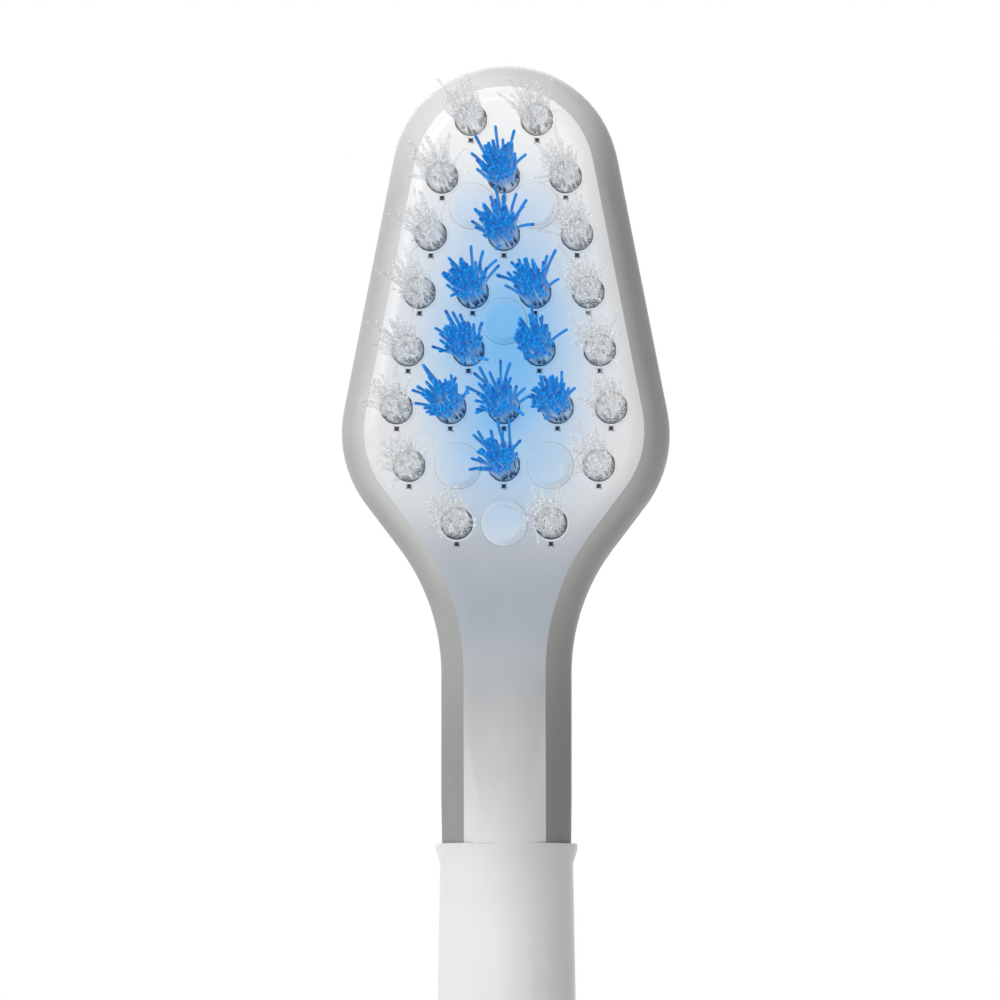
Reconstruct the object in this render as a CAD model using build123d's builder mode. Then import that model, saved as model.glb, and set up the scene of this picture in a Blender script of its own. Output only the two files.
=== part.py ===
from build123d import *
from math import asin, atan2, cos, dist, hypot, pi, tan
import os

os.makedirs("parts", exist_ok=True)

# Frame: the drive shaft's axis is Z, the base stands on Z = 0 and the bristles point to -Y.

# Lengths along the axis, from the base to the tip
shaft_length = 52.46  # base to the end of the lip
neck_length = 9.72  # lip to the corner where the head widens
slope_length = 5.72  # neck corner to the shoulder corner
flank_length = 16.1  # shoulder corner to the tip

# Plan of the head and neck, seen from the bristle side
neck_half = 2.61  # half the neck's width and depth
shoulder_half = 6.95  # shoulder corner out from the axis, before it is rounded
neck_corner_radius = 8.3
shoulder_radius = 4.8
tip_radius = 4.6

# Side view of the head
face_step = 0.59  # the bristle face stands this far ahead of the neck
step_below = 2.8  # the step starts this far below the neck corner
step_above = 1.2  # and ends this far above it
step_radius = 8.0
head_thickness = 5.0
front_round = 1.5
back_bevel = 1.5

# Lower neck, its corners trimmed towards the round shaft
trim_sides = 16
trim_gap = 0.02  # trim clears the flats of the neck at the lip
trim_height = 6.0
trim_angle = 4.5

# Soft jacket over the sides and back
rim_width = 0.95
back_skin = 0.9

# Hub in the base, with the drive shaft's bore and a chamber above it
bore_radius = 1.9
bore_length = 10.0
chamber_step = 0.25  # chamber wider than the bore, all round
chamber_length = 10.0
hub_wall = 0.6  # round the chamber
flange_width = 2.15
flange_height = 1.6
hub_clearance = 0.03

# Shaft
neck_step = 0.09  # shaft wider than the neck, on each side
lip_rise = 0.17  # on each side, none at the front and back
lip_height = 0.8
lip_edge = 0.25  # height of the lip's straight edge
shaft_slope = 0.013  # how fast the shaft widens just below the lip
base_wall = 1.1
base_bevel = 0.4

# Retaining clip, a leaf bent over the top of the hub's chamber
clip_thickness = 0.25
clip_width = 2.4
clip_end_gap = 1.0  # legs end above the floor of the chamber
clip_grip = 0.35  # how far each leg bows in to grip
clip_clearance = 0.05

# Tuft holes and anchors
hole_radius = 0.71
hole_sides = 8
hole_turn = 180 / hole_sides  # sets a flat side square to the anchor
hole_depth = 3.0
anchor_bite = 0.25  # each end of an anchor reaches this far past the hole
anchor_height = 1.3
anchor_thickness = 0.22
anchor_clearance = 0.02
fold_thickness = 0.5  # filaments folded under the anchor

# Tufts
tuft_clearance = 0.03
tuft_height = 10.0  # free length of the bristles above the face
tuft_stem = 2.5  # close part of the bundle above the face
tuft_gap = 0.1  # left between the tips of the closest tufts
strand_count = 6
strand_spreads = [1.0, 0.75, 0.9]  # share of the full splay, strand after strand
turn_step = 137.5  # degrees from each tuft to the next, so that no two look alike

# Tuft rows, from the tip down: how far the outer tufts stand in from the straight sides, in edge
# margins, and the other tufts of the row, as shares of the outer tufts' distance from the axis
tip_margin = 2.32  # tip to the first row
neck_margin = 3.16  # neck corner to the last row
edge_margin = 2.2
rows = [
    (1.32, []),
    (1.0, [0]),
    (1.0, [0]),
    (1.0, [-0.37, 0.37]),
    (1.0, [-0.37, 0.37]),
    (1.0, [-0.5, 0, 0.5]),
    (1.34, [0]),
    (1.41, []),
]

# Low round marks between the tufts: row, counted from 0, and share of the half width there
marks = [(1.5, -0.26), (1.5, 0.26), (3.5, 0), (6, -0.275), (6, 0.275), (7, 0)]
mark_sides = 8
mark_height = 0.14
mark_angle = 40

# Heights and radii worked out from the sizes above
neck_corner_z = shaft_length + neck_length
shoulder_z = neck_corner_z + slope_length
tip_z = shoulder_z + flank_length
face_depth = neck_half + face_step
head_back = head_thickness - face_depth
round_limit = 0.46 * min(head_thickness, 2 * neck_half)  # a round and a bevel fit in the thinnest wall
head_span = 2 * (shoulder_half + face_depth)  # more than the head measures across
chamber_radius = bore_radius + chamber_step
hub_height = bore_length + chamber_length
hub_radius = chamber_radius + hub_wall
flange_radius = hub_radius + flange_width
base_radius = flange_radius + hub_clearance + base_wall
shaft_top_radius = neck_half + neck_step
lip_low_z = shaft_length - lip_height
anchor_length = 2 * (hole_radius + anchor_bite)
face_plane = Plane.XZ.offset(face_depth)
floor_plane = face_plane.offset(-hole_depth)
anchor_plane = floor_plane.offset(fold_thickness)

# The flanks run from the shoulder corners to touch the round of the tip
tip_centre = tip_z - tip_radius - shoulder_z
flank_angle = atan2(shoulder_half, tip_centre) - asin(tip_radius / hypot(shoulder_half, tip_centre))
apex_z = shoulder_z + shoulder_half / tan(flank_angle)


def half_width(z):
    """Half the width between the head's straight sides at a height, corners not rounded."""
    if z > shoulder_z:
        return (apex_z - z) * tan(flank_angle)
    return neck_half + (z - neck_corner_z) * (shoulder_half - neck_half) / slope_length


def row_z(row):
    """Height of a row of tufts, counted from 0 at the tip."""
    first = tip_z - tip_margin
    last = neck_corner_z + neck_margin
    return first - row * (first - last) / (len(rows) - 1)


clear_places = []
blue_places = []
for row, (margins, shares) in enumerate(rows):
    outer_x = half_width(row_z(row)) - margins * edge_margin
    clear_places += [(-outer_x, row_z(row)), (outer_x, row_z(row))]
    blue_places += [(share * outer_x, row_z(row)) for share in shares]
tuft_places = clear_places + blue_places
mark_places = [(share * half_width(row_z(row)), row_z(row)) for row, share in marks]
closest = min(dist(a, b) for a in tuft_places for b in tuft_places if a != b)


def draw_plan(low_z):
    """Plan outline of the head and neck, cut off at a height."""
    corners = [
        (neck_half, low_z),
        (neck_half, neck_corner_z),
        (shoulder_half, shoulder_z),
        (0, apex_z),
        (-shoulder_half, shoulder_z),
        (-neck_half, neck_corner_z),
        (-neck_half, low_z),
    ]
    rounds = [0, neck_corner_radius, shoulder_radius, tip_radius]
    rounds += [shoulder_radius, neck_corner_radius, 0]
    FilletPolyline(*corners, radius=rounds, close=True)


def draw_step(head_y, neck_y):
    """One long side of the side outline, stepped where the head meets the neck."""
    return FilletPolyline(
        (head_y, tip_z),
        (head_y, neck_corner_z + step_above),
        (neck_y, neck_corner_z - step_below),
        (neck_y, shaft_length),
        radius=step_radius,
    )


def draw_side(skin):
    """Side outline of the head and neck, with its back brought in by a skin."""
    front = draw_step(-face_depth, -neck_half)
    back = draw_step(head_back - skin, neck_half - skin)
    Line(front @ 0, back @ 0)
    Line(front @ 1, back @ 1)


def draw_hub(clearance):
    """Half section of the hub, or of its seat when a clearance is given."""
    Polyline(
        (0, 0),
        (flange_radius + clearance, 0),
        (flange_radius + clearance, flange_height),
        (hub_radius + clearance, flange_height),
        (hub_radius + clearance, hub_height + clearance),
        (0, hub_height + clearance),
        close=True,
    )


def rim_edges(part):
    """Edges between the sides of the head and its face or back."""
    return part.edges().filter_by(Axis.X, reverse=True).filter_by(Axis.Y, reverse=True)


# Outer form of the head and neck, which the body and the jacket share
with BuildPart() as head_form:
    with BuildSketch(Plane.XZ):
        with BuildLine():
            draw_plan(shaft_length)
        make_face()
    extrude(amount=head_span, both=True)
    with BuildSketch(Plane.YZ):
        with BuildLine():
            draw_side(0)
        make_face()
    extrude(amount=head_span, both=True, mode=Mode.INTERSECT)
    back_edges = rim_edges(head_form).filter_by_position(Axis.Y, 0, head_span)
    chamfer(back_edges, min(back_bevel, round_limit))
    front_edges = rim_edges(head_form).filter_by_position(Axis.Y, -head_span, -neck_half / 2)
    fillet(front_edges, min(front_round, round_limit))
    with BuildSketch(Plane.XY.offset(shaft_length)):
        Rectangle(head_span, head_span)
        RegularPolygon(neck_half + trim_gap, trim_sides, major_radius=False, mode=Mode.SUBTRACT)
    extrude(amount=trim_height, taper=trim_angle, mode=Mode.SUBTRACT)

# Hard core of the head and neck, inside the jacket
with BuildPart() as head_core:
    with BuildSketch(Plane.XZ):
        with BuildLine():
            draw_plan(shaft_length - rim_width)
        make_face()
        offset(amount=-rim_width)
    extrude(amount=head_span, both=True)
    with BuildSketch(Plane.YZ):
        with BuildLine():
            draw_side(back_skin)
        make_face()
    extrude(amount=head_span, both=True, mode=Mode.INTERSECT)
    add(head_form.part, mode=Mode.INTERSECT)

# Brush body: plate, neck and hollow shaft, one hard moulding
with BuildPart() as brush_body:
    with BuildSketch(Plane.XZ):
        with BuildLine():
            Polyline(
                (0, lip_low_z),
                (0, 0),
                (base_radius - base_bevel, 0),
                (base_radius, base_bevel),
            )
            bell = TangentArc(
                (shaft_top_radius, lip_low_z),
                (base_radius, base_bevel),
                tangent=(shaft_slope, -1),
            )
            Line(bell @ 0, (0, lip_low_z))
        make_face()
    revolve(axis=Axis.Z)
    with BuildSketch(Plane.XY.offset(lip_low_z)):
        Circle(shaft_top_radius)
    for edge_z in (shaft_length - lip_edge, shaft_length):
        with BuildSketch(Plane.XY.offset(edge_z)):
            Ellipse(shaft_top_radius + lip_rise, neck_half)
    loft(ruled=True)
    with BuildSketch(Plane.XZ):
        with BuildLine():
            draw_hub(hub_clearance)
        make_face()
    revolve(axis=Axis.Z, mode=Mode.SUBTRACT)
    add(head_core.part)
    with BuildSketch(face_plane):
        with Locations(*mark_places):
            RegularPolygon(hole_radius, mark_sides)
    extrude(amount=mark_height, taper=mark_angle)
    with BuildSketch(face_plane):
        with Locations(*tuft_places):
            RegularPolygon(hole_radius, hole_sides, rotation=hole_turn)
    extrude(amount=-hole_depth, mode=Mode.SUBTRACT)
    with BuildSketch(face_plane):
        with Locations(*tuft_places):
            Rectangle(
                anchor_thickness + 2 * anchor_clearance,
                anchor_length + 2 * anchor_clearance,
            )
    extrude(amount=fold_thickness - hole_depth, mode=Mode.SUBTRACT)
brush_body.part.label = "brush_body"
export_step(brush_body.part, "parts/brush_body.step")

# Soft jacket: the rim of the plate, the neck's two strips and the back
with BuildPart() as soft_jacket:
    add(head_form.part)
    add(head_core.part, mode=Mode.SUBTRACT)
soft_jacket.part.label = "soft_jacket"
export_step(soft_jacket.part, "parts/soft_jacket.step")

# Tuft anchors: flat metal plates driven into the holes
with BuildPart() as tuft_anchors:
    with BuildSketch(anchor_plane):
        with Locations(*tuft_places):
            Rectangle(anchor_thickness, anchor_length)
    extrude(amount=anchor_height)
tuft_anchors.part.label = "tuft_anchors"
export_step(tuft_anchors.part, "parts/tuft_anchors.step")

# Bundle of filaments, close in the hole and up its stem, then split into splayed strands
root_radius = hole_radius * cos(pi / hole_sides) - tuft_clearance
splay = (closest - tuft_gap) / 2 - root_radius
bundle_corners = PolarLocations(root_radius, strand_count).locations
corners = [corner.position for corner in bundle_corners]
with BuildPart() as bundle:
    with BuildSketch(Plane.XY):
        Polygon(*corners, align=None)
    extrude(amount=hole_depth + tuft_stem)
    for strand in range(strand_count):
        sector = [Vector(0, 0), corners[strand - 1], corners[strand]]
        with BuildSketch(Plane.XY.offset(hole_depth + tuft_stem)):
            Polygon(*sector, align=None)
        spread = splay * strand_spreads[strand % len(strand_spreads)]
        lean = (sector[1] + sector[2]).normalized() * spread
        lean += Vector(0, 0, tuft_height - tuft_stem)
        extrude(amount=lean.length, dir=lean)


def make_tuft(name, place, turn):
    """One bundle of filaments, folded under its anchor and splayed above the face."""
    with BuildPart() as tuft:
        with Locations(floor_plane.location * Location((*place, 0), (0, 0, turn))):
            add(bundle.part)
        with BuildSketch(anchor_plane):
            with Locations(place):
                Rectangle(anchor_thickness + 2 * anchor_clearance, anchor_length)
        extrude(amount=anchor_height + anchor_clearance, mode=Mode.SUBTRACT)
    tuft.part.label = name
    export_step(tuft.part, f"parts/{name}.step")


for number, place in enumerate(clear_places, start=1):
    make_tuft(f"clear_tuft_{number:02d}", place, number * turn_step)
for number, place in enumerate(blue_places, start=1):
    make_tuft(f"blue_tuft_{number:02d}", place, number * turn_step)

# Shaft hub: the sleeve that slides over the drive shaft, with a chamber above its bore
with BuildPart() as shaft_hub:
    with BuildSketch(Plane.XZ):
        with BuildLine():
            draw_hub(0)
        make_face()
    revolve(axis=Axis.Z)
    with BuildSketch(Plane.XY):
        Circle(bore_radius)
    extrude(amount=bore_length, mode=Mode.SUBTRACT)
    with BuildSketch(Plane.XY.offset(bore_length)):
        Circle(chamber_radius)
    extrude(amount=chamber_length, mode=Mode.SUBTRACT)
shaft_hub.part.label = "shaft_hub"
export_step(shaft_hub.part, "parts/shaft_hub.step")

# Retaining clip: a leaf bent to a U, whose legs bow in to grip the drive shaft's end
clip_half = (chamber_radius**2 - (clip_width / 2) ** 2) ** 0.5 - clip_clearance
clip_low_z = bore_length + clip_end_gap
grip_z = clip_low_z + (hub_height - clip_low_z) / 3
with BuildPart() as retaining_clip:
    with BuildSketch(Plane.XZ):
        with BuildLine():
            leaf = Polyline(
                (clip_half, clip_low_z),
                (clip_half - clip_grip, grip_z),
                (clip_half, hub_height),
                (-clip_half, hub_height),
                (clip_grip - clip_half, grip_z),
                (-clip_half, clip_low_z),
            )
            offset(leaf, amount=clip_thickness, side=Side.LEFT, kind=Kind.INTERSECTION)
        make_face()
    extrude(amount=clip_width / 2, both=True)
retaining_clip.part.label = "retaining_clip"
export_step(retaining_clip.part, "parts/retaining_clip.step")
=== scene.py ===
import math
import random

import bmesh
import bpy
from mathutils import Matrix, Vector


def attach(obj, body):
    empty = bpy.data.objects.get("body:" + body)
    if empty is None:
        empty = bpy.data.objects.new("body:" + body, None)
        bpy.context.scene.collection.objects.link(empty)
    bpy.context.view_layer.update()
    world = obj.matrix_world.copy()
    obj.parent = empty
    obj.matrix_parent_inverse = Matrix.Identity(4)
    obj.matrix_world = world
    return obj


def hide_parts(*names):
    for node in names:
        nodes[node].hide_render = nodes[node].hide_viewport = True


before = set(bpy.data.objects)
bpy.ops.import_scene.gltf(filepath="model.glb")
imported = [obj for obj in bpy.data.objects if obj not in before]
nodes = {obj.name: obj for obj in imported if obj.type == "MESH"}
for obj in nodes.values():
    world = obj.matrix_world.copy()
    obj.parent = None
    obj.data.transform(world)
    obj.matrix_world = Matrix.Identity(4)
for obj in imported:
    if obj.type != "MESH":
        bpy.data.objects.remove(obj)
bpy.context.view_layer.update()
mm = 0.001
faceY = -3.2  # the head's face, in mm
print("frame loaded:", len(nodes), "nodes")


class Wire:
    # one socket of a node tree: operators add Math nodes, add() makes any other node
    def __init__(self, tree, socket=None):
        self.tree = tree
        self.socket = socket

    def add(self, kind, settings=None, sockets=None, out=0):
        node = self.tree.nodes.new(kind)
        for key, value in (settings or {}).items():
            if key == "points":  # a float curve's points
                curve = node.mapping.curves[0]
                while len(curve.points) < len(value):
                    curve.points.new(1.0, 1.0)
                for point, place in zip(curve.points, value):
                    point.location = place
                node.mapping.update()
            else:
                setattr(node, key, value)
        for key, value in (sockets or {}).items():
            if isinstance(value, Wire):
                self.tree.links.new(value.socket, node.inputs[key])
            else:
                node.inputs[key].default_value = value
        return Wire(self.tree, node.outputs[out] if node.outputs else None)

    def maths(self, operation, first, second):
        return self.add("ShaderNodeMath", {"operation": operation}, {0: first, 1: second})

    def __add__(self, other):
        return self.maths("ADD", self, other)

    def __sub__(self, other):
        return self.maths("SUBTRACT", self, other)

    def __rsub__(self, other):
        return self.maths("SUBTRACT", other, self)

    def __mul__(self, other):
        return self.maths("MULTIPLY", self, other)

    def __truediv__(self, other):
        return self.maths("DIVIDE", self, other)

    def __pow__(self, other):
        return self.maths("POWER", self, other)

    def __abs__(self):
        return self.maths("ABSOLUTE", self, 0.0)

    __radd__ = __add__
    __rmul__ = __mul__

    def atLeast(self, other):
        return self.maths("MAXIMUM", self, other)

    def step(self, low, high):  # 0 below low, 1 above high, smooth between
        return self.add("ShaderNodeMapRange", {"interpolation_type": "SMOOTHSTEP"},
                        {"Value": self, "From Min": low, "From Max": high})

    def band(self, rise, fall):  # from 0 up to 1 over rise, and back to 0 over fall
        return self.step(*rise) * (1 - self.step(*fall))

    def mix(self, first, second):  # two colours, this value is the share of the second
        ends = [end if isinstance(end, Wire) else (*end, 1.0) for end in (first, second)]
        return self.add("ShaderNodeMix", {"data_type": "RGBA"}, {0: self, 6: ends[0], 7: ends[1]}, out=2)

    def turn(self, first, second):  # two directions, this value is the share of the second
        return self.add("ShaderNodeMix", {"data_type": "VECTOR"}, {0: self, 4: first, 5: second}, out=1)


def newFinish(name):
    finish = bpy.data.materials.new(name)
    finish.use_nodes = True
    finish.node_tree.nodes.clear()
    return finish, Wire(finish.node_tree)


def closeFinish(wire, sockets):
    surface = wire.add("ShaderNodeBsdfPrincipled", None, sockets)
    wire.add("ShaderNodeOutputMaterial", None, {"Surface": surface})


def places(wire):  # object coordinates in millimetres: the vector, then x, y and z
    spot = wire.add("ShaderNodeTexCoord", None, None, out=3)
    spot = wire.add("ShaderNodeVectorMath", {"operation": "SCALE"}, {0: spot, "Scale": 1 / mm})
    split = wire.add("ShaderNodeSeparateXYZ", None, {0: spot})
    outs = split.socket.node.outputs
    return spot, Wire(wire.tree, outs[0]), Wire(wire.tree, outs[1]), Wire(wire.tree, outs[2])


def grain(wire, spot, scale, detail=2.0):  # plain noise, 0 to 1
    return wire.add("ShaderNodeTexNoise", None, {"Vector": spot, "Scale": scale, "Detail": detail})


def direction(wire, x, y, z):
    way = wire.add("ShaderNodeCombineXYZ", None, {0: x, 1: y, 2: z})
    return wire.add("ShaderNodeVectorMath", {"operation": "NORMALIZE"}, {0: way})


def tilted(wire, normal, way, share):  # the normal, tilted towards a direction
    tilt = wire.add("ShaderNodeVectorMath", {"operation": "SCALE"}, {0: way, "Scale": share})
    return wire.add("ShaderNodeVectorMath", {"operation": "ADD"}, {0: normal, 1: tilt})


def dent(wire, height, strength, depth, normal=None):  # depth in millimetres
    sockets = {"Height": height, "Strength": strength, "Distance": depth * mm}
    if normal:
        sockets["Normal"] = normal
    return wire.add("ShaderNodeBump", None, sockets)


neckLook = {"rise": (49.8, 50.4), "fall": (57.0, 63.0), "share": 0.95}  # heights in mm


def roundNeck(wire, look, x, y, z, flatten=1.0):  # the neck's normals, turned to the shaft's round
    flat = wire.add("ShaderNodeNewGeometry", None, None, out=1)
    share = z.band(look["rise"], look["fall"]) * look["share"]
    return share.turn(flat, direction(wire, x, y * flatten, 0.0))


plateLook = {  # heights and depths in mm
    "white": (0.80, 0.81, 0.82),
    "cloud": (0.6, 4.0, 0.97),  # scale and detail, and how much darker it is
    "cloudEdges": (0.3, 0.7),
    "tipPaintedLight": (0.95, 0.95, 0.95),  # painted light: whiter towards the tip, for the light that comes through the thinner plastic there
    "tipRise": (76.0, 83.0),
    "glowShadeBlue": (0.16, 0.50, 0.90),  # painted blue glow under and between the blue tufts, for light coming through the blue nylon; also the painted bluish shade at the saddle and the tint of the low marks
    "frontEnds": (-2.6, -1.2),
    "blueGlowCentre": 71.9,  # height of the painted blue glow
    "blueGlowReach": (3.9, 8.0),  # half its width and height
    "blueGlowFade": 1.3,
    "blueGlowCloud": (0.75, 0.5, 0.35),  # least strength, range and scale
    # painted shade: a bluish darkening where the neck's front turns into the head
    "saddleShadeStrength": 0.16,
    "saddleShadeRise": (57.0, 61.5), "saddleShadeFall": (63.0, 68.0),
    "discTint": 0.07,  # on top of the low marks
    "discEnds": (-3.33, -3.23),
    "runBack": 1.08,  # how far the neck's front turns down
    "runRise": (48.0, 63.0), "runFall": (62.0, 67.5), "runEnds": (-2.2, 0.0),
    "soften": 0.97,  # how far the sides of the low marks fade into the plate
    "softEnds": (-3.205, faceY),
    "roughness": 0.2,
    "scuffs": (0.08, 2.5, 3.0),  # strength, scale and detail
    "ripple": (6.0, 3.0, 0.05, 0.05),  # scale, detail, strength and depth
    "ior": 1.49,
}


def whitePlasticFinish(name, look):
    finish, wire = newFinish(name)
    spot, x, y, z = places(wire)
    front = 1 - y.step(*look["frontEnds"])
    across = x / look["blueGlowReach"][0]
    along = (z - look["blueGlowCentre"]) / look["blueGlowReach"][1]
    far = (across * across + along * along) ** 0.5
    least, extra, size = look["blueGlowCloud"]
    # painted light: a blue glow painted on the plate around the blue tufts
    blueGlow = (1 - far.step(0.0, look["blueGlowFade"])) * front * (least + extra * grain(wire, spot, size))
    size, detail, darker = look["cloud"]
    cloud = grain(wire, spot, size, detail).step(*look["cloudEdges"])
    white = cloud.mix(look["white"], [darker * c for c in look["white"]])
    # painted light: the plate's front painted whiter towards the tip
    white = (z.step(*look["tipRise"]) * front).mix(white, look["tipPaintedLight"])
    # painted shade at the saddle
    saddleShade = z.band(look["saddleShadeRise"], look["saddleShadeFall"]) * front * look["saddleShadeStrength"]
    disc = (1 - y.step(*look["discEnds"])) * look["discTint"]
    # share of the blue: painted glow, painted saddle shade and the tint of the low marks
    tint = blueGlow.atLeast(saddleShade) + disc
    down = z.band(look["runRise"], look["runFall"]) * (1 - y.step(*look["runEnds"])) * look["runBack"]
    normal = tilted(wire, roundNeck(wire, neckLook, x, y, z), (0, 0, -1), down)
    proud = (1 - y.step(*look["softEnds"])) * look["soften"]
    normal = proud.turn(normal, (0, -1, 0))
    scuff, size, detail = look["scuffs"]
    rippleSize, rippleDetail, strength, depth = look["ripple"]
    closeFinish(wire, {
        "Base Color": tint.mix(white, look["glowShadeBlue"]),
        "Roughness": look["roughness"] + scuff * grain(wire, spot, size, detail),
        "Normal": dent(wire, grain(wire, spot, rippleSize, rippleDetail), strength, depth, normal),
        "IOR": look["ior"],
    })
    return finish


jacketLook = {  # lengths in mm
    "grey": (0.48, 0.49, 0.47),
    "dusty": (0.53, 0.54, 0.52),
    "cloud": (0.5, 4.0, 0.6),  # scale, detail and strength
    "specks": (9.0, 2.0, 0.3),
    "cloudEdges": (0.3, 0.7), "speckEdges": (0.68, 0.74),
    "stripShade": 0.6,  # painted shade: how much darker the strips are painted down the neck
    "stripShadeEnds": (55.0, 68.0),
    "thinGlow": (0.76, 0.77, 0.77),  # painted light: paler where the rim thins out over the white, for light coming through the thin rubber
    "glowPlate": (0.3, 1.1, 0.4),  # along the plate: from and to across the rim, and strength
    "glowTip": (77.0, 83.5, 0.75),  # at the tip: from and to in height, and strength
    "bulge": 0.9,  # how far the rim's outer edge turns outwards
    "bulgeLoss": 0.6,  # how much of that is lost at the plate
    "bulgeMiddle": 72.0, "bulgeSlope": 0.2, "bulgeTip": 79.0,
    "headRise": (61.0, 66.0), "frontEnds": (-2.4, 0.0),
    "width": 0.95,  # of the rim
    "outline": [  # height and half the width there
        (60, 2.7), (62, 3.04), (64, 4.01), (66, 5.51), (67, 6.15), (68, 6.5), (69, 6.62), (70, 6.54),
        (72, 6.14), (80, 4.57), (81, 4.31), (82, 3.79), (83, 2.86), (83.5, 2.08), (84, 0.0),
    ],
    "halfRange": 8,  # the curve's values are shares of this
    "flatten": 0.85,  # of the round that the strips are shaded with
    "roughness": 0.48,
    "scuffs": (0.12, 3.0, 3.0),  # strength, scale and detail
    "skin": (22.0, 3.0, 0.12, 0.04),  # scale, detail, strength and depth
    "ior": 1.45,
}


def softGreyFinish(look):
    finish, wire = newFinish("grey_elastomer_satin")
    spot, x, y, z = places(wire)
    low, tip = look["outline"][0][0], look["outline"][-1][0]
    points = [((height - low) / (tip - low), half / look["halfRange"]) for height, half in look["outline"]]
    curve = wire.add("ShaderNodeFloatCurve", {"points": points}, {"Value": (z - low) / (tip - low)})
    half = look["halfRange"] * curve
    # 0 at the rim's outer edge, 1 at the plate
    inside = wire.maths("MINIMUM", half - abs(x), tip - z) / look["width"]
    head = z.step(*look["headRise"]) * (1 - y.step(*look["frontEnds"]))
    size, detail, strength = look["cloud"]
    cloud = grain(wire, spot, size, detail).step(*look["cloudEdges"]) * strength
    size, detail, strength = look["specks"]
    specks = grain(wire, spot, size, detail).step(*look["speckEdges"]) * strength
    colour = (cloud + specks).mix(look["grey"], look["dusty"])
    # painted shade: the strips painted darker down the neck
    colour = z.step(*look["stripShadeEnds"]).mix([look["stripShade"] * c for c in look["grey"]], colour)
    # painted light: the rim painted paler along the plate and at the tip
    near, far, strength = look["glowPlate"]
    glowPlate = inside.step(near, far) * strength
    near, far, strength = look["glowTip"]
    thinGlow = glowPlate.atLeast(z.step(near, far) * strength) * head
    above = (z - look["bulgeTip"]).atLeast(0.0)
    outwards = direction(wire, x, 0.0, look["bulgeSlope"] * (z - look["bulgeMiddle"]) + above)
    bulge = look["bulge"] * head * (1 - look["bulgeLoss"] * inside.step(0.0, 1.0))
    normal = tilted(wire, roundNeck(wire, neckLook, x, y, z, look["flatten"]), outwards, bulge)
    scuff, size, detail = look["scuffs"]
    skinSize, skinDetail, strength, depth = look["skin"]
    closeFinish(wire, {
        "Base Color": thinGlow.mix(colour, look["thinGlow"]),
        "Roughness": look["roughness"] + scuff * grain(wire, spot, size, detail),
        "Normal": dent(wire, grain(wire, spot, skinSize, skinDetail), strength, depth, normal),
        "IOR": look["ior"],
    })
    return finish


clearLook = {
    "root": (0.90, 0.91, 0.93), "body": (0.93, 0.94, 0.95), "end": (0.97, 0.97, 0.97),  # colours
    "dark": (0.74, 0.75, 0.78),  # of some ends
    "shadeStreak": (0.12, 0.13, 0.14),  # painted shade: dark streaks on some strands where they leave the hole
    "shadeStreakFall": (0.14, 0.30),  # share of the length over which the painted shade streak ends
    "solid": (0.2, 0.2, 0.36),  # how solid the strand is at its root, body and end
    "shine": 0.7,
}
blueLook = {
    "root": (0.45, 0.70, 0.95), "body": (0.0, 0.29, 0.93), "end": (0.01, 0.33, 0.97),
    "dark": (0.03, 0.13, 0.62),
    "shadeStreak": (0.0, 0.05, 0.20),
    "shadeStreakFall": (0.2, 0.5),
    "solid": (0.45, 0.85, 0.95),
    "shine": 0.2,
}
nylonLook = {  # shares of a strand's length, and of the strands by their shade
    "bodyRise": (0.15, 0.65),
    "lightRise": (0.5, 1.0), "lightShade": (0.2, 1.0),
    "tipRise": (0.975, 0.985), "darkShade": (0.2, 0.3),
    "shadeStreakPick": ((0.5, 0.52), (0.68, 0.7)),
    "shadeStreakRise": (0.06, 0.12),
    "shadeStreakRoughness": 0.95,
    "roughness": (0.22, 0.2),  # least, and range
    "ior": 1.53,
}


def nylonFinish(name, look, shared):
    finish, wire = newFinish(name)
    along = wire.add("ShaderNodeAttribute", {"attribute_name": "alongStrand"}, None, out=2)
    shade = wire.add("ShaderNodeAttribute", {"attribute_name": "strandShade"}, None, out=2)
    depth = along.step(*shared["bodyRise"])
    light = along.step(*shared["lightRise"]) * shade.step(*shared["lightShade"])
    tip = along.step(*shared["tipRise"])
    darkTip = tip * (1 - shade.step(*shared["darkShade"]))
    # painted shade: dark streaks on the shaded roots of some strands
    shadeStreak = shade.band(*shared["shadeStreakPick"]) * along.band(shared["shadeStreakRise"], look["shadeStreakFall"])
    colour = depth.mix(look["root"], look["body"])
    colour = light.mix(colour, look["end"])
    colour = darkTip.mix(colour, look["dark"])
    root, body, end = look["solid"]
    least, extra = shared["roughness"]
    closeFinish(wire, {
        "Base Color": shadeStreak.mix(colour, look["shadeStreak"]),
        "Roughness": (least + extra * shade).atLeast(shared["shadeStreakRoughness"] * shadeStreak),
        "Alpha": (root + (body - root) * depth + (end - body) * tip).atLeast(shadeStreak),
        "IOR": shared["ior"],
        "Specular IOR Level": look["shine"],
    })
    return finish


anchorLook = {
    "dull": (0.16, 0.14, 0.09), "bright": (0.30, 0.26, 0.16),
    "wear": (8.0, 3.0),  # scale and detail
    "roughness": (0.3, 0.25),  # least, and range
}


def anchorFinish(look):
    finish, wire = newFinish("anchor_metal")
    wear = grain(wire, places(wire)[0], *look["wear"])
    least, extra = look["roughness"]
    closeFinish(wire, {
        "Base Color": wear.mix(look["dull"], look["bright"]),
        "Metallic": 1.0,
        "Roughness": least + extra * wear,
    })
    return finish


hubLook = {
    "shade": (0.50, 0.51, 0.52), "pale": (0.58, 0.59, 0.60),
    "cloud": (1.2, 3.0),  # scale and detail
    "roughness": (0.42, 0.15),  # least, and range
    "skin": (15.0, 2.0, 0.08, 0.03),  # scale, detail, strength and depth
}


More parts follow.
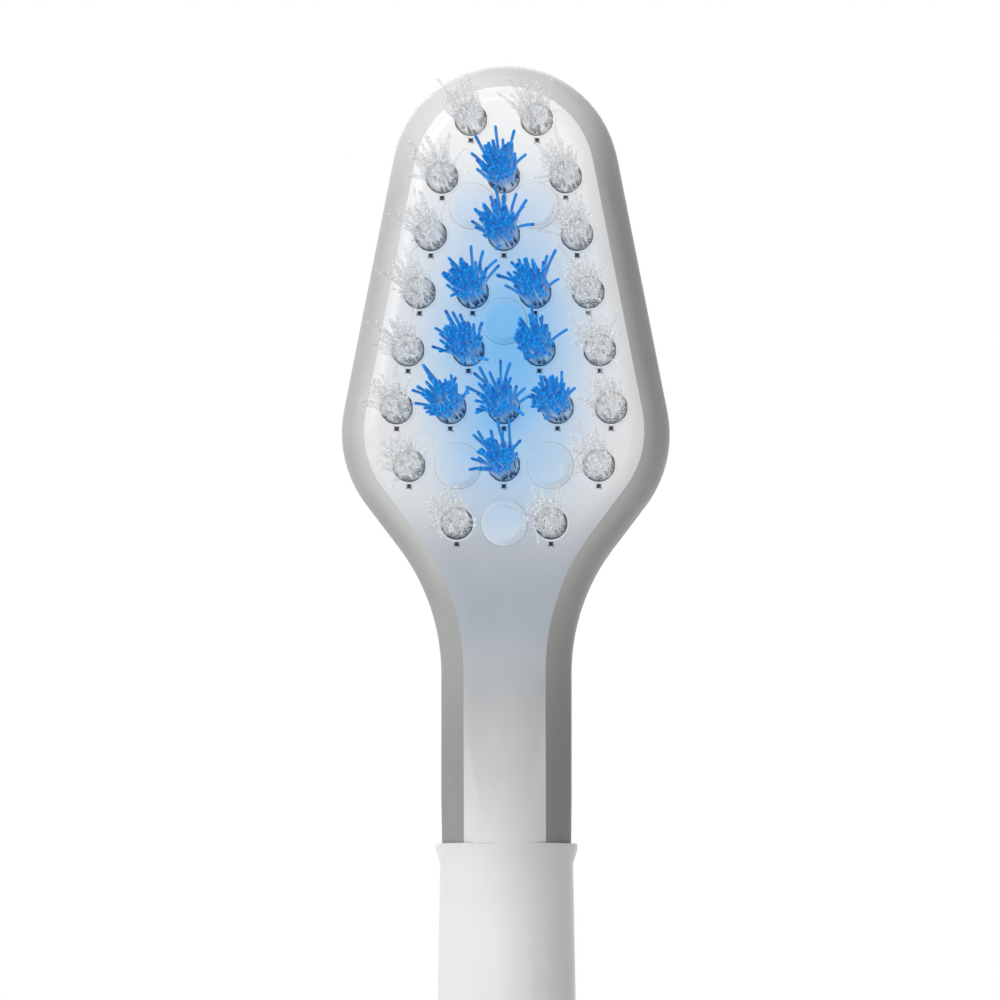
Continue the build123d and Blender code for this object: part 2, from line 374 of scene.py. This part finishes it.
def hubFinish(look):
    finish, wire = newFinish("hub_plastic_matt")
    spot = places(wire)[0]
    cloud = grain(wire, spot, *look["cloud"])
    least, extra = look["roughness"]
    size, detail, strength, depth = look["skin"]
    closeFinish(wire, {
        "Base Color": cloud.mix(look["shade"], look["pale"]),
        "Roughness": least + extra * cloud,
        "Normal": dent(wire, grain(wire, spot, size, detail), strength, depth),
    })
    return finish


steelLook = {
    "dull": (0.50, 0.50, 0.51), "bright": (0.66, 0.66, 0.67),
    "stretch": (9.0, 9.0, 0.6),  # the lines run along the strip
    "lines": (2.0, 2.0),  # scale and detail
    "roughness": (0.2, 0.2),  # least, and range
}


def steelFinish(look):
    finish, wire = newFinish("spring_steel_drawn")
    drawn = wire.add("ShaderNodeMapping", None, {"Vector": places(wire)[0], "Scale": look["stretch"]})
    lines = grain(wire, drawn, *look["lines"])
    least, extra = look["roughness"]
    closeFinish(wire, {
        "Base Color": lines.mix(look["dull"], look["bright"]),
        "Metallic": 1.0,
        "Roughness": least + extra * lines,
    })
    return finish


finishes = {
    "brush_body": whitePlasticFinish("white_plastic_gloss", plateLook),
    "soft_jacket": softGreyFinish(jacketLook),
    "tuft_anchors": anchorFinish(anchorLook),
    "shaft_hub": hubFinish(hubLook),
    "retaining_clip": steelFinish(steelLook),
}
trimFinish = whitePlasticFinish("white_plastic_trim", plateLook)  # the hole rims and the marks
trimFinish.cycles.use_bump_map_correction = False
clearNylon = nylonFinish("clear_nylon_drawn", clearLook, nylonLook)
blueNylon = nylonFinish("blue_nylon_drawn", blueLook, nylonLook)
for nodeName, finish in finishes.items():
    nodes[nodeName].data.materials.clear()
    nodes[nodeName].data.materials.append(finish)
print("finishes made:", len(finishes) + 3)

strandLook = {  # lengths in mm
    "radius": 0.066,
    "sides": 6,
    "cuts": 6,  # rings between root and tip
    "rootDepth": 1.1,  # below the face
    "reach": 10.0,  # above the face
    "endInset": 0.45, "endRise": 0.6,  # of the rounded end, in radii
}
tuftLook = {  # lengths in mm
    "rootSide": -2.0,  # only the tuft's root lies behind this
    "strands": 66,
    "turn": 2.39996,  # from each strand to the next, in radians
    "packing": 0.57,  # radius of the outer strands' centres in the hole
    "flare": (0.4, 0.4),  # how much wider the tips stand than the roots: clear tufts, then blue
    "wander": 0.1,
    "strays": 0.12,  # share of strands that stand away
    "strayReach": (0.2, 0.75), "straySide": 0.25,
    "shorter": 0.3,  # how much the tips differ in height
    "bend": (1.2, 2.2),  # how late a strand turns away
    "outer": 0.75,  # every second strand further out than this, on the lower right away from the light, gets a painted shade streak
    "lowerRight": 0.6,
    "shadeStreakValue": 0.6,  # the strand shade that the finish draws with a painted shade streak
    "seed": 40,
}


def straightStrand(look):
    radius, length = look["radius"], look["rootDepth"] + look["reach"]
    bm = bmesh.new()
    bmesh.ops.create_cone(bm, cap_ends=True, segments=look["sides"], radius1=radius, radius2=radius,
                          depth=length)
    bmesh.ops.translate(bm, vec=(0, 0, length / 2), verts=bm.verts)
    sides = [e for e in bm.edges if abs(e.verts[0].co.z - e.verts[1].co.z) > length / 2]
    bmesh.ops.subdivide_edges(bm, edges=sides, cuts=look["cuts"])
    top = [f for f in bm.faces if f.normal.z > 0.9]
    bmesh.ops.inset_region(bm, faces=top, thickness=radius * look["endInset"], depth=0.0)
    bmesh.ops.translate(bm, vec=(0, 0, radius * look["endRise"]), verts=list(top[0].verts))
    for face in bm.faces:
        face.smooth = True
    mesh = bpy.data.meshes.new("strand_straight")
    bm.to_mesh(mesh)
    bm.free()
    return mesh


def tuftCentre(name):  # the middle of its hole in the face, in mm
    roots = [v.co for v in nodes[name].data.vertices if v.co.y > tuftLook["rootSide"] * mm]
    return sum(c.x for c in roots) / len(roots) / mm, sum(c.z for c in roots) / len(roots) / mm


def makeTuft(name, strand, look, strandSizes, seed):
    dice = random.Random(seed)
    blue = name.startswith("blue")
    centreX, centreZ = tuftCentre(name)
    rootDepth = strandSizes["rootDepth"]
    length = rootDepth + strandSizes["reach"]
    start = rootDepth / length
    bm = bmesh.new()
    along = bm.verts.layers.float.new("alongStrand")
    shade = bm.verts.layers.float.new("strandShade")
    sway = dice.uniform(0, 2 * math.pi)
    for count in range(look["strands"]):
        first = len(bm.verts)
        bm.from_mesh(strand)
        bm.verts.ensure_lookup_table()
        turn = count * look["turn"] + sway
        root = look["packing"] * math.sqrt((count + 0.5) / look["strands"])
        spread = root * look["flare"][blue] + dice.gauss(0, look["wander"])
        side = dice.gauss(0, look["wander"])
        if dice.random() < look["strays"]:
            spread += dice.uniform(*look["strayReach"])
            side += dice.gauss(0, look["straySide"])
        cut = 1 - dice.random() ** 2 * look["shorter"] / strandSizes["reach"]
        bend = dice.uniform(*look["bend"])
        own = dice.random()
        outX, outZ = math.cos(turn), math.sin(turn)
        # painted shade: every second outer strand on the lower right is streaked dark
        if count % 2 and root > look["outer"] * look["packing"] and outX - outZ > look["lowerRight"]:
            own = look["shadeStreakValue"]
        for v in bm.verts[first:]:
            part = min(v.co.z / length, 1.0)
            rise = max(0.0, (part - start) / (1 - start))
            push, slide = spread * rise ** bend, side * rise ** bend
            offX = v.co.x + outX * (root + push) - outZ * slide
            offZ = v.co.y + outZ * (root + push) + outX * slide
            height = (v.co.z - rootDepth) * (cut if v.co.z > rootDepth else 1)
            height -= 0.5 * (push * push + slide * slide) / max(height, 1.0)  # a strand that leans is as long
            v.co = Vector((centreX + offX, faceY - height, centreZ + offZ)) * mm
            v[along] = part
            v[shade] = own
    mesh = bpy.data.meshes.new(name + "_strands")
    bmesh.ops.recalc_face_normals(bm, faces=bm.faces)
    bm.to_mesh(mesh)
    bm.free()
    mesh.materials.append(blueNylon if blue else clearNylon)
    piece = bpy.data.objects.new(name + "_strands", mesh)
    bpy.context.scene.collection.objects.link(piece)
    piece.visible_shadow = piece.visible_diffuse = False  # nylon lets the light through
    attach(piece, "root")
    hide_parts(name)


strand = straightStrand(strandLook)
tuftNames = sorted(n for n in nodes if "_tuft_" in n)
for count, name in enumerate(tuftNames):
    makeTuft(name, strand, tuftLook, strandLook, tuftLook["seed"] + count)
print("tufts made:", len(tuftNames))


def facePiece(name, bm, finish):  # one piece of the head's face
    mesh = bpy.data.meshes.new(name)
    bmesh.ops.recalc_face_normals(bm, faces=bm.faces)
    for face in bm.faces:
        face.smooth = len(face.verts) == 4  # caps stay flat
    bm.to_mesh(mesh)
    bm.free()
    mesh.materials.append(finish)
    piece = bpy.data.objects.new(name, mesh)
    bpy.context.scene.collection.objects.link(piece)
    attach(piece, "root")


rimLook = {  # what closes in round each hole, in mm
    "radius": 0.712, "bead": 0.05,  # of the ring, and of the bead that it is made of
    "steps": 32, "beadSteps": 8,
    "sink": 0.64,  # share of the bead that lies below the face
    "slitFills": [  # sideways, width, from and to down from the hole's middle, and depth below the face
        (0.0, 0.25, 0.70, 0.985, 0.4),
        (0.0, 0.25, 0.93, 0.985, 0.006),
        (0.0, 0.25, -0.985, -0.70, 0.006),
        (-0.105, 0.04, 0.70, 0.93, 0.006),
        (0.105, 0.04, 0.70, 0.93, 0.006),
    ],
    "fillHeight": 0.6,
    "seatRadii": (0.69, 0.4),
    "seatSteps": 16,
    "seatDepth": 0.07,
    "seatRise": 0.03,
}


def makeRims(look):
    bm = bmesh.new()
    upright = Matrix.Rotation(math.pi / 2, 3, "X")
    wide, narrow = look["seatRadii"]
    for name in tuftNames:
        centreX, centreZ = tuftCentre(name)
        middle = Vector((centreX, faceY + look["bead"] * look["sink"], centreZ)) * mm
        ring = bmesh.ops.create_circle(bm, segments=look["beadSteps"], radius=look["bead"] * mm)["verts"]
        edges = list({e for v in ring for e in v.link_edges})
        bmesh.ops.translate(bm, verts=ring, vec=(look["radius"] * mm, 0, 0))
        bmesh.ops.translate(bm, verts=ring, vec=middle)
        bmesh.ops.spin(bm, geom=ring + edges, cent=middle, axis=(0, -1, 0), steps=look["steps"],
                       angle=2 * math.pi, use_merge=True, use_duplicate=False)
        for side, width, near, far, deep in look["slitFills"]:  # the moulding, closed over the anchor's ends
            block = bmesh.ops.create_cube(bm, size=mm)["verts"]
            bmesh.ops.scale(bm, verts=block, vec=(width, look["fillHeight"], far - near))
            spot = (centreX + side, faceY + deep + look["fillHeight"] / 2, centreZ - (near + far) / 2)
            bmesh.ops.translate(bm, verts=block, vec=Vector(spot) * mm)
        seat = bmesh.ops.create_cone(bm, cap_ends=True, segments=look["seatSteps"], radius1=wide * mm,
                                     radius2=narrow * mm, depth=look["seatRise"] * mm)["verts"]
        bmesh.ops.rotate(bm, verts=seat, cent=(0, 0, 0), matrix=upright)
        bmesh.ops.translate(bm, verts=seat, vec=Vector((centreX, faceY + look["seatDepth"], centreZ)) * mm)
    facePiece("hole_rims", bm, trimFinish)


markLook = {  # the low round marks, in mm
    "places": [(0.0, 65.34), (-1.865, 67.67), (1.865, 67.67), (0.0, 73.51), (-1.28, 78.18), (1.28, 78.18)],
    "foot": 0.95, "top": 0.62, "inner": 0.4,  # radii, from the plate up
    "rise": 0.142, "rings": 8, "steps": 40,
}


def makeMarks(look):
    bm = bmesh.new()
    for x, z in look["places"]:
        profile = []
        for ring in range(look["rings"] + 1):  # an S-curve, so the mark grows out of the plate
            share = ring / look["rings"]
            radius = look["foot"] + (look["top"] - look["foot"]) * share
            height = look["rise"] * share * share * (3 - 2 * share)
            profile.append(bm.verts.new(Vector((x + radius, faceY - height, z)) * mm))
        profile.append(bm.verts.new(Vector((x + look["inner"], faceY - look["rise"], z)) * mm))
        edges = [bm.edges.new(pair) for pair in zip(profile, profile[1:])]
        bmesh.ops.spin(bm, geom=profile + edges, cent=Vector((x, faceY, z)) * mm, axis=(0, -1, 0),
                       steps=look["steps"], angle=2 * math.pi, use_merge=True, use_duplicate=False)
    bmesh.ops.holes_fill(bm, edges=bm.edges, sides=0)
    facePiece("face_marks", bm, trimFinish)


makeRims(rimLook)
makeMarks(markLook)
print("hole rims and face marks made")

floorLook = {  # lengths in m
    "radius": 0.42,
    "steps": 96,
    "fade": (0.16, 0.40),
    "colour": (0.82, 0.82, 0.82),
    "roughness": 0.8,
}


def makeFloor(look):
    bm = bmesh.new()
    bmesh.ops.create_circle(bm, cap_ends=True, segments=look["steps"], radius=look["radius"])
    mesh = bpy.data.meshes.new("studio_floor")
    bm.to_mesh(mesh)
    bm.free()
    floor = bpy.data.objects.new("studio_floor", mesh)
    bpy.context.scene.collection.objects.link(floor)
    finish, wire = newFinish("pale_floor")
    spot, x, y, z = places(wire)
    far = ((x * x + y * y) ** 0.5).step(look["fade"][0] / mm, look["fade"][1] / mm)
    sockets = {"Base Color": (*look["colour"], 1), "Roughness": look["roughness"]}
    paper = wire.add("ShaderNodeBsdfPrincipled", None, sockets)
    clear = wire.add("ShaderNodeBsdfTransparent")
    mixed = wire.add("ShaderNodeMixShader", None, {0: far, 1: paper, 2: clear})
    wire.add("ShaderNodeOutputMaterial", None, {"Surface": mixed})
    mesh.materials.append(finish)


makeFloor(floorLook)

worldLook = {"fill": 0.3, "slope": 0.29, "brightSide": (-0.7, -0.25, 0.67)}  # brighter up on the left


def makeWorld(look):
    world = bpy.data.worlds.new("white_studio")
    bpy.context.scene.world = world
    world.use_nodes = True
    world.node_tree.nodes.clear()
    wire = Wire(world.node_tree)
    outs = wire.add("ShaderNodeLightPath").socket.node.outputs
    camera, glossy, through = [
        Wire(wire.tree, outs[kind]) for kind in ("Is Camera Ray", "Is Glossy Ray", "Is Transmission Ray")
    ]
    seen = camera.atLeast(glossy).atLeast(through)
    ray = wire.add("ShaderNodeTexCoord", None, None, out=0)
    sockets = {0: ray, 1: look["brightSide"]}
    side = wire.add("ShaderNodeVectorMath", {"operation": "DOT_PRODUCT"}, sockets, out=1)
    fill = look["fill"] + look["slope"] * side
    strength = fill + seen * (1 - fill)  # plain white where it is seen, dimmer where it lights
    glow = wire.add("ShaderNodeBackground", None, {"Color": (1, 1, 1, 1), "Strength": strength})
    wire.add("ShaderNodeOutputWorld", None, {"Surface": glow})


makeWorld(worldLook)

lampLook = [  # place and aim in mm, size in mm, watts
    {"name": "key_softbox", "place": (-211, -197, 411), "aim": (0, 0, 66), "size": (200, 200), "watts": 1.0},
    {"name": "face_softbox", "place": (-110, -405, 150), "aim": (0, 0, 76), "size": (200, 60), "watts": 0.31},
    {"name": "back_softbox", "place": (-40, 420, 240), "aim": (0, 0, 50), "size": (220, 220), "watts": 0.5},
]


def placeAimed(name, data, look):  # puts a lamp or camera in its place, turned to its aim
    holder = bpy.data.objects.new(name, data)
    bpy.context.scene.collection.objects.link(holder)
    holder.location = Vector(look["place"]) * mm
    way = (Vector(look["aim"]) - Vector(look["place"])) * mm
    holder.rotation_euler = way.to_track_quat("-Z", "Y").to_euler()
    return holder


def makeLamp(look):
    lamp = bpy.data.lights.new(look["name"], "AREA")
    lamp.shape = "RECTANGLE"
    lamp.size, lamp.size_y = look["size"][0] * mm, look["size"][1] * mm
    lamp.energy = look["watts"]
    placeAimed(look["name"], lamp, look)


for look in lampLook:
    makeLamp(look)

cameraLook = {  # place, aim, lens and sensor in mm, clip in m
    "place": (17.0, -503.2, 43.0), "aim": (-0.16, -3.2, 66.28),
    "lens": 446.5, "sensor": 36,
    "clip": (0.01, 10),
}


def makeCamera(look):
    lens = bpy.data.cameras.new("photo_camera")
    lens.lens = look["lens"]
    lens.sensor_width = look["sensor"]
    lens.clip_start, lens.clip_end = look["clip"]
    bpy.context.scene.camera = placeAimed("photo_camera", lens, look)


makeCamera(cameraLook)
bpy.context.scene.view_settings.view_transform = "Standard"
bpy.context.scene.cycles.transparent_max_bounces = 32  # a look through a tuft meets many strands
print("stage, lamps and camera made")
